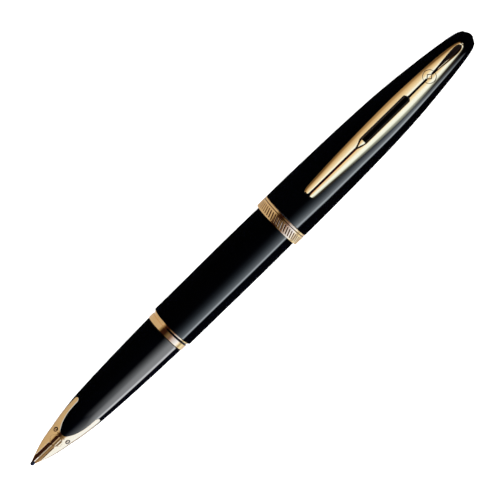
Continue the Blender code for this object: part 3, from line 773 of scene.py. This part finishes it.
def build_hinge():
    """The brass block in the crown, its pin and the torsion spring round the pin."""
    outer = [
        (139.4, 0), (139.4, 3.40), (139.5, 3.44), (142.0, 3.08), (144.6, 2.68), (146.0, 2.05),
        (146.1, 1.95), (146.1, 0),
    ]
    solid = turned_mesh(outer, HIDDEN_ROUND)
    place(solid)
    block = new_object("clip_anchor", solid)
    slot = prism_mesh([(138.9, -1.5), (147.0, -1.5), (147.0, 1.5), (138.9, 1.5)], -0.6, 5.0)
    bmesh.ops.recalc_face_normals(slot, faces=slot.faces)
    place(slot)
    cutter = new_object("clip_anchor_slot", slot)
    cut = block.modifiers.new("slot", "BOOLEAN")
    cut.object = cutter
    cut.operation = "DIFFERENCE"
    cut.solver = "EXACT"
    bpy.context.view_layer.update()
    made = bpy.data.meshes.new_from_object(block.evaluated_get(bpy.context.evaluated_depsgraph_get()))
    block.modifiers.clear()
    bpy.data.objects.remove(cutter)
    block.data = made
    dress(block, "cap", BRASS, ["clip_block"], sharp=30)
    pin = cross_bar_mesh(HINGE_STATION, HINGE_HEIGHT, 0.46, 2.15, 40)
    finish_piece(pin, "hinge_pin", "cap", STEEL, ["clip_pin"])
    coil, wire, turns, start_y, pitch = 0.68, 0.10, 3.0, 0.72, 0.23
    path = [Vector((141.4, start_y, HINGE_HEIGHT - coil))]
    steps = int(turns * 36)
    for step in range(steps + 1):
        angle = math.pi * 1.5 + 2 * math.pi * turns * step / steps
        across = start_y + pitch * turns * step / steps
        out = Vector((coil * math.cos(angle), across, coil * math.sin(angle)))
        path.append(Vector((HINGE_STATION, 0, HINGE_HEIGHT)) + out)
    path.append(Vector((HINGE_STATION + 0.3, start_y + pitch * turns, HINGE_HEIGHT - coil)))
    finish_piece(tube_mesh(path, wire), "hinge_spring", "cap", STEEL, ["clip_spring"])


# ---- clip ----

HINGE_STATION, HINGE_HEIGHT = 144.6, 1.2
CLIP_HALF_WIDTH = [
    (95.0, 0.86), (95.08, 1.12), (95.3, 1.38), (95.7, 1.56), (96.4, 1.68), (98.0, 1.80), (104.0, 2.15),
    (112.7, 2.48), (121.0, 2.65), (126.0, 2.66), (131.0, 2.53), (136.0, 2.30), (140.5, 1.98),
    (144.5, 1.46), (146.0, 1.10), (146.75, 0.72), (147.05, 0.25),
]
CLIP_TOP = [
    (95.0, 7.46), (96.0, 7.50), (98.0, 7.55), (104.0, 7.66), (112.0, 7.72), (118.0, 7.60), (124.0, 7.22),
    (130.0, 6.60), (136.0, 5.82), (140.5, 5.10), (144.5, 4.30), (147.3, 3.62),
]
CLIP_THICKNESS = [(95.0, 0.78), (110.0, 0.78), (130.0, 0.85), (140.0, 0.72), (147.3, 0.50)]
CLIP_DOME = [(0, 0.12), (0.18, 0.03), (0.35, 0), (0.55, 0.055), (0.75, 0.21), (0.9, 0.40), (1, 0.55)]
WINDOW = [
    (95.0, 0.62), (95.08, 0.45), (95.3, 0.30), (95.7, 0.22), (97.0, 0.20), (111.3, 0.20), (111.7, 0.30),
    (112.6, 0.62), (113.3, 0.86), (113.8, 0.95), (128.2, 0.95), (128.45, 0.82), (128.8, 0.30),
]
GROOVE_START = 128.8
# Half the width of the groove, which opens into a lens-shaped hollow.
GROOVE = [
    (128.8, 0.32), (129.4, 0.28), (136.8, 0.28), (138.0, 0.33), (139.5, 0.46), (141.0, 0.64), (143.0, 0.86),
    (144.8, 0.94), (145.7, 0.84), (146.25, 0.58), (146.5, 0.14),
]
GROOVE_DEPTH = [(128.8, 0.30), (137.0, 0.28), (140.0, 0.36), (143.0, 0.44), (145.5, 0.44), (146.5, 0.10)]
EMBLEM = (135.8, 1.66)  # the station and radius of the plain ring engraved on the clip


def straight(points, at):
    for (x0, y0), (x1, y1) in zip(points, points[1:]):
        if x0 <= at <= x1:
            return y0 + (y1 - y0) * (at - x0) / (x1 - x0)
    return points[0][1] if at < points[0][0] else points[-1][1]


def clip_inner(s, side):
    """How far from the middle a lobe's inner edge is; the window lies a little to the far side."""
    if s >= GROOVE_START:
        return 0.0
    half = straight(WINDOW, s)
    return half + side * 0.10 * ease(0.5, 0.9, half)


def emblem(s, y):
    """1 on the engraved ring or on the lozenge inside it."""
    centre, radius = EMBLEM
    away = math.hypot(s - centre, y)
    lozenge = abs(s - centre) / 0.95 + abs(y) / 0.80
    return 1.0 if abs(away - radius) < 0.06 or abs(lozenge - 0.85) < 0.15 else 0.0


def groove_share(s, y):
    """How deep the groove is at a signed distance across, from 0 at its edges to 1 in its valley."""
    if not GROOVE_START <= s <= 146.5 or abs(s - EMBLEM[0]) < 0.9:
        return 0.0
    half = straight(GROOVE, s)
    if abs(y) >= half:
        return 0.0
    valley = -0.45 * half
    return (half - y) / (half - valley) if y > valley else (y + half) / (valley + half)


def clip_height(s, y):
    half = smooth(CLIP_HALF_WIDTH, s)
    flatten = min(1.0, half / 2.0)
    height = smooth(CLIP_TOP, s) - flatten * smooth(CLIP_DOME, min(1.0, abs(y) / half))
    height -= 0.30 * (1 - ease(94.9, 95.55, s)) ** 2
    height -= 0.16 * ease(146.6, 147.05, s)
    if s < GROOVE_START:
        return height - 0.16 * max(0.0, 1 - (abs(y) - clip_inner(s, math.copysign(1, y))) / 0.10)
    return height - straight(GROOVE_DEPTH, s) * groove_share(s, y) - 0.05 * emblem(s, y)


def clip_ring(s, side):
    half = smooth(CLIP_HALF_WIDTH, s)
    inner = clip_inner(s, side)
    count = 80
    top = []
    for i in range(count + 1):
        # Points crowd towards the middle, where the groove and the hollow are.
        y = inner + (half - inner) * (i / count) ** 1.35
        top.append((y, clip_height(s, side * y)))
    under = smooth(CLIP_TOP, s) - smooth(CLIP_THICKNESS, s)
    edge_height = top[-1][1]
    drop = max(0.05, edge_height - under)
    outside = [
        (half + 0.02, edge_height - 0.25 * drop), (half, edge_height - 0.55 * drop),
        (half * 0.985, edge_height - 0.85 * drop),
    ]
    floor = [(half * 0.96, under), ((half + inner) / 2, under)]
    return [(inner, under), *top, *outside, *floor]


def clip_stations():
    stations = [95.0, 95.05, 95.12, 95.2, 95.3, 95.45, 95.6, 95.8]
    s = 96.0
    while s < 146.0:
        stations.append(s)
        fine = 110 < s < 115 or s > 127
        s += 0.07 if 133.9 < s < 137.7 else 0.25 if fine else 0.5
    stations += [113.3, 113.8, 128.2, 128.45, GROOVE_START - 0.01, GROOVE_START]
    stations += [146.0 + 0.07 * k for k in range(15)] + [147.02, 147.05]
    return sorted({round(s, 3) for s in stations})


def build_clip():
    def clip_joined(s):
        return s >= GROOVE_START

    bm = split_loft(clip_stations(), clip_ring, clip_joined)
    for item in bm.faces:
        # The engraved lines and the groove are painted dark as painted shade, but for the near slope of the
        # hollow at its end.
        s, y, z = item.calc_center_median()
        painted_shade_from = -straight(GROOVE, s) * (0.34 + 0.50 * ease(141.0, 144.5, s))
        sunk = groove_share(s, y) > 0.02 and (s < 138.5 or y > painted_shade_from)
        if z > clip_height(s, y) - 0.1 and (sunk or emblem(s, y)):
            item.material_index = 1
    finish_piece(bm, "clip_gold", "clip", [CLIP_GOLD, CLIP_PAINTED_SHADE], ["clip"], 42)

    # The small bright tongue that stands in the fork of the slit.
    outline = [(111.85, 0.02), (112.1, 0.13), (112.8, 0.38), (113.4, 0.53), (113.75, 0.56)]
    rings = []
    for s, half in between(outline, 111.85, 113.75, 0.12):
        top = smooth(CLIP_TOP, s) - 0.10
        shares = [i / 6 for i in range(-6, 7)]
        dome = [(s, v * half, top - 0.10 * v * v * min(1.0, half / 0.3)) for v in shares]
        rings.append(dome + [(s, half * 0.96, top - 0.55), (s, -half * 0.96, top - 0.55)])
    finish_piece(loft_mesh(rings), "clip_tongue", "clip", CLIP_GOLD, sharp=42)
    # A dark plate under the fork, painted shade that keeps the slit dark.
    shade_plate = prism_mesh([(110.0, -1.6), (113.7, -1.6), (113.7, 1.6), (110.0, 1.6)], 6.60, 6.95)
    finish_piece(shade_plate, "clip_shade_plate", "clip", CLIP_PAINTED_SHADE)

    # The window's slender rail on the far side, which runs into the clip where the window ends.
    rings = []
    for s, top in between(CLIP_TOP, 113.85, 128.65, 0.8):
        high, low = top - 0.06, top - 0.50
        rings.append([(s, 0.62, high), (s, 0.78, high), (s, 0.78, low), (s, 0.62, low)])
    finish_piece(loft_mesh(rings), "window_rail", "clip", WINDOW_TRIM)

    # The lug that reaches down through the cap to the hinge pin.
    outline = [(143.0, 4.0), (143.3, 2.4), (143.55, 1.3), (143.75, 0.85), (144.15, 0.5), (144.6, 0.4)]
    outline += [(145.05, 0.5), (145.4, 0.85), (145.5, 1.4), (145.4, 3.6)]
    rings = []
    for y, size in ((-0.5, 0.95), (-0.45, 1.0), (0.45, 1.0), (0.5, 0.95)):
        rings.append([(144.4 + (s - 144.4) * size, y, 1.8 + (z - 1.8) * size) for s, z in outline])
    finish_piece(loft_mesh(rings), "clip_lug", "clip", CLIP_GOLD)


# ---- camera, floor and light ----

TILT = math.radians(5.35)  # the camera leans towards the cap's end
LEAN = math.radians(2.2)  # and a little towards +Y
ROLL = math.radians(44.33)  # the pen's slope in the picture
DISTANCE = 0.850
LENS = 251.8
AIM_STATION, AIM_ACROSS = 75.17, 0.10


def build_camera():
    aim = Vector(((FIRST_X + AIM_STATION) * MM, AIM_ACROSS * MM, AXIS_Z * MM))
    lean = Matrix.Rotation(-LEAN, 3, "X")
    back = lean @ Vector((math.sin(TILT), 0, math.cos(TILT)))
    along = lean @ Vector((math.cos(TILT), 0, -math.sin(TILT)))
    across = lean @ Vector((0, 1, 0))
    right = along * math.cos(ROLL) - across * math.sin(ROLL)
    up = along * math.sin(ROLL) + across * math.cos(ROLL)
    camera = bpy.data.cameras.new("camera")
    camera.sensor_width = 36.0
    camera.lens = LENS
    camera.clip_start, camera.clip_end = 0.05, 20.0
    obj = bpy.data.objects.new("camera", camera)
    SCENE.collection.objects.link(obj)
    turn = Matrix((right, up, back)).transposed()
    obj.matrix_world = Matrix.Translation(aim + back * DISTANCE) @ turn.to_4x4()
    SCENE.camera = obj


def build_floor():
    bm = bmesh.new()
    bmesh.ops.create_circle(bm, cap_ends=True, segments=96, radius=3.0)
    floor = new_object("studio_floor", bm)
    n = MaterialNodes("studio_floor")
    n.set(Roughness=1.0, Specular_IOR_Level=0.0)
    n.set(Base_Color=n.colours(n.noise(3.0), (0.90, 0.90, 0.90), (0.92, 0.92, 0.92)))
    floor.data.materials.append(n.material)
    floor.visible_glossy = False
    floor.visible_shadow = False


# Brightness of the studio by angle round the pen: 0 is overhead, +90 the near side, -90 the far side. Each
# group of surfaces has its own cards, as a product studio lights each material in its own pass.
DARK_STRIPE = [
    (-35, (0.39, 0.35, 0.30)), (-30, (0.25, 0.22, 0.16)), (-25, (0.05, 0.025, 0.01)),
    (-20, (0.022, 0.005, 0.003)), (0, (0.022, 0.005, 0.003)), (5, (0.07, 0.05, 0.03)),
    (10, (0.10, 0.087, 0.057)), (16, (0.156, 0.14, 0.12)),
]
GOLD_CARDS = [
    (-180, (0.51, 0.48, 0.45)), (-143, (0.58, 0.58, 0.58)), (-40, (0.58, 0.58, 0.58)), *DARK_STRIPE,
    (24, (0.18, 0.16, 0.17)), (30, (0.19, 0.155, 0.195)), (35, (0.275, 0.25, 0.365)),
    (40, (0.47, 0.51, 0.82)), (51, (0.62, 0.82, 1.63)), (62, (0.73, 1.08, 2.25)), (74, (0.91, 1.36, 2.97)),
    (87, (0.99, 1.42, 2.4)), (94, (0.76, 0.92, 1.3)), (102, (0.38, 0.40, 0.37)), (110, (0.74, 0.87, 0.97)),
    (119, (0.93, 1.22, 1.47)), (135, (0.75, 0.82, 0.94)), (180, (0.51, 0.48, 0.45)),
]
CLIP_CARDS = [
    (-180, (0.26, 0.22, 0.16)), (-110, (0.26, 0.22, 0.16)), (-75, (0.13, 0.10, 0.06)),
    (-62, (0.15, 0.12, 0.08)), (-54, (0.35, 0.30, 0.22)), (-35, (0.68, 0.68, 0.67)),
    (-15, (0.83, 0.97, 1.09)), (0, (0.89, 1.11, 1.47)), (15, (0.97, 1.45, 2.43)), (30, (0.97, 1.52, 2.83)),
    (45, (0.86, 1.36, 2.4)), (54, (0.52, 0.84, 1.44)), (62, (0.22, 0.37, 0.66)), (70, (0.02, 0.027, 0.046)),
    (95, (0.01, 0.01, 0.01)), (130, (0.01, 0.01, 0.01)), (165, (0.06, 0.05, 0.03)), (180, (0.26, 0.22, 0.16)),
]
# The lacquer's cards give one brightness, which cool() tints.
BARREL_CARDS = [
    (-180, 0.0), (12, 0.0), (20, 0.045), (24.5, 0.085), (29, 0.16), (34, 0.255), (39, 0.37), (44, 0.62),
    (49, 0.90), (54, 1.27), (59, 1.70), (64, 2.10), (70, 2.65), (76, 3.5), (79.5, 7.6), (85, 7.6),
    (88, 0.6), (91, 0.0), (180, 0.0),
]
CAP_CARDS = [
    (-180, 0.0), (12, 0.0), (17, 0.018), (21, 0.07), (25, 0.13), (30, 0.235), (34, 0.36), (38, 0.56),
    (43, 0.85), (47, 1.18), (51, 1.55), (55, 2.05), (59, 2.7), (63, 3.4), (67, 4.0), (70.5, 7.8),
    (76, 7.8), (79, 0.6), (82.5, 0.0), (180, 0.0),
]
CROWN_CARDS = [(-180, 0.0), (180, 0.0)]
CAP_TWIST = math.radians(101)  # how far the cap's cards turn for each metre along the pen
TWIST_END = 0.07  # how far along the cards, in metres from the middle, they go on turning
# The grip sees a deeper softbox that is bright at once, and the nose's steep slope a fainter one.
GRIP_CARDS = [
    (-180, 0.0), (10, 0.0), (16, (0.14, 0.15, 0.16)), (21, (0.41, 0.43, 0.44)),
    (27, (0.85, 0.88, 0.91)), (38, (1.85, 1.92, 1.97)), (49, (3.3, 3.4, 3.5)), (61, (4.75, 4.85, 4.95)),
    (74, (4.85, 4.95, 5.05)), (88, (4.6, 4.7, 4.8)), (93, (8.8, 8.9, 9.1)), (103, (8.8, 8.9, 9.1)),
    (106, (1.0, 1.0, 1.0)), (109, 0.0), (180, 0.0),
]
NOSE_CARDS = [
    (-180, 0.0), (18, 0.0), (27, (0.07, 0.08, 0.11)), (34, (0.24, 0.27, 0.32)),
    (42, (0.55, 0.59, 0.65)), (50, (0.88, 0.92, 0.98)), (58, (1.15, 1.2, 1.25)), (64, (1.45, 1.5, 1.55)),
    (75, (1.8, 1.85, 1.9)), (90, (1.8, 1.85, 1.9)), (96, 0.0), (180, 0.0),
]
NIB_CARDS = [
    (-180, (0.40, 0.36, 0.30)), (-145, (0.46, 0.45, 0.43)), (-110, (0.56, 0.56, 0.55)),
    (-40, (0.60, 0.60, 0.60)), *DARK_STRIPE, (24, (0.18, 0.155, 0.12)), (30, (0.21, 0.18, 0.13)),
    (35, (0.29, 0.26, 0.21)), (40, (0.50, 0.52, 0.62)), (46, (0.72, 0.95, 1.6)), (54, (0.95, 1.42, 2.7)),
    (128, (0.96, 1.45, 2.75)), (140, (0.70, 0.90, 1.2)), (150, (0.16, 0.09, 0.03)), (180, (0.40, 0.36, 0.30)),
]
CARD_DISTANCE = 1.0
CARD_LENGTH = 4.0


class LightNodes(Tree):
    """A light's node tree, with sums of its position written as calls."""

    def __init__(self, light, turn, twist):
        light.use_nodes = True
        self.tree = light.node_tree
        where = self.add("ShaderNodeNewGeometry", {}).outputs["Position"]
        self.x, y, z = self.add("ShaderNodeSeparateXYZ", {0: where}).outputs
        across = self.sum("MULTIPLY", y, -1.0)
        up = self.sum("SUBTRACT", z, AXIS_Z * MM)
        seen = self.sum("ADD", self.sum("ARCTAN2", across, up), LEAN + turn)
        twisted = self.sum("MULTIPLY", self.sum("MINIMUM", self.x, TWIST_END), twist)
        self.angle = self.sum("SUBTRACT", seen, twisted)

    def sum(self, operation, *values):
        return self.add("ShaderNodeMath", dict(enumerate(values)), operation=operation).outputs[0]

    def ramp(self, cards, peak):
        position = self.sum("MULTIPLY_ADD", self.angle, 1 / (2 * math.pi), 0.5)
        node = self.add("ShaderNodeValToRGB", {"Fac": position})
        stops = node.color_ramp.elements
        ends = {-180: 0, 180: -1}
        for degrees, colour in cards:
            stop = stops[ends[degrees]] if degrees in ends else stops.new(degrees / 360 + 0.5)
            stop.color = (*(value / peak for value in colour), 1)
        return node.outputs["Color"]


def cool(brightness):
    """The cool white of the softbox over the lacquer, bluer where it is dim."""
    share = min(brightness, 3.4)
    return brightness * (0.68 + 0.05 * share), brightness * (0.84 + 0.03 * share), brightness


def coloured(cards):
    return [(angle, cool(light) if isinstance(light, float) else light) for angle, light in cards]


def build_cards(name, cards, receivers, end_cards=(), blend=(0.0, 1.0), turn=0.0, twist=0.0):
    """Four tall cards make a square tunnel round the pen, graded by the angle at which the pen sees them.

    end_cards take over between the two places along the pen that blend gives.
    """
    cards, end_cards = coloured(cards), coloured(end_cards)
    peak = max(max(colour) for _, colour in cards + end_cards)
    light = bpy.data.lights.new(name, "AREA")
    light.shape = "RECTANGLE"
    light.size, light.size_y = CARD_LENGTH, 2 * CARD_DISTANCE
    light.energy = math.pi * light.size * light.size_y * peak
    n = LightNodes(light, turn, twist)
    colour = n.ramp(cards, peak)
    if end_cards:
        limits = {"Value": n.x, "From Min": blend[0], "From Max": blend[1], "To Min": 0.0, "To Max": 1.0}
        share = n.add("ShaderNodeMapRange", limits).outputs["Result"]
        mixed = {0: share, 6: colour, 7: n.ramp(end_cards, peak)}
        colour = n.add("ShaderNodeMix", mixed, data_type="RGBA").outputs[2]
    n.fill(n.tree.nodes["Emission"], {"Color": colour})
    group = bpy.data.collections.new(name + "_receivers")
    for obj in receivers:
        group.objects.link(obj)
    along = Vector((1, 0, 0))
    for index, side in enumerate(("top", "far", "under", "near")):
        quarter = math.radians(90 * index)
        card = bpy.data.objects.new(f"{name}_{side}", light)
        out = Vector((0, math.sin(quarter), math.cos(quarter)))
        facing = Matrix((along, out.cross(along), out)).transposed().to_4x4()
        card.matrix_world = Matrix.Translation(out * CARD_DISTANCE + Vector((0, 0, AXIS_Z * MM))) @ facing
        card.visible_camera = False
        card.light_linking.receiver_collection = group
        SCENE.collection.objects.link(card)


def build_world():
    """White to the camera, and next to nothing to the pen, which is lit by its cards."""
    world = bpy.data.worlds.new("studio")
    SCENE.world = world
    world.use_nodes = True
    n = Tree()
    n.tree = world.node_tree
    n.tree.nodes.clear()
    seen = n.add("ShaderNodeLightPath", {}).outputs["Is Camera Ray"]
    strength = n.add("ShaderNodeMapRange", {"Value": seen, "To Min": 0.006, "To Max": 1.05})
    white = {"Color": (1, 1, 1, 1), "Strength": strength.outputs["Result"]}
    backdrop = n.add("ShaderNodeBackground", white)
    n.add("ShaderNodeOutputWorld", {"Surface": backdrop.outputs[0]})


def build_lights():
    """Each group of surfaces has its cards; the floor has one broad soft light of its own."""
    floor = bpy.data.objects["studio_floor"]
    rest = [obj for obj in SCENE.objects if obj.type == "MESH" and obj != floor]

    def take(*names):
        taken = [obj for obj in rest if obj.name in names]
        rest[:] = [obj for obj in rest if obj not in taken]
        return taken

    grip = take("grip_lacquer")
    cap = take("cap_lacquer")
    barrel = take("barrel_lacquer", "barrel_tail")
    nib = take("nib_gold", "nib_pellet")
    clip = take("clip_gold", "clip_tongue", "clip_lug", "clip_shade_plate")
    build_cards("grip_cards", GRIP_CARDS, grip, NOSE_CARDS, (-0.30, -0.48))
    build_cards("cap_cards", CAP_CARDS, cap, CROWN_CARDS, (0.16, 0.36), math.radians(-5.3), CAP_TWIST)
    build_cards("barrel_cards", BARREL_CARDS, barrel, turn=math.radians(1.5))
    build_cards("nib_cards", NIB_CARDS, nib)
    build_cards("clip_cards", CLIP_CARDS, clip)
    build_cards("gold_cards", GOLD_CARDS, rest)
    light = bpy.data.lights.new("floor_light", "SUN")
    light.energy = 9.0
    light.angle = math.radians(60)
    sun = bpy.data.objects.new("floor_light", light)
    group = bpy.data.collections.new("floor_receivers")
    group.objects.link(floor)
    sun.light_linking.receiver_collection = group
    SCENE.collection.objects.link(sun)


SCENE.view_settings.view_transform = "Standard"
SCENE.view_settings.look = "None"

build_camera()
build_floor()
build_barrel()
build_section()
build_converter()
build_cap()
build_clip()
build_world()
build_lights()
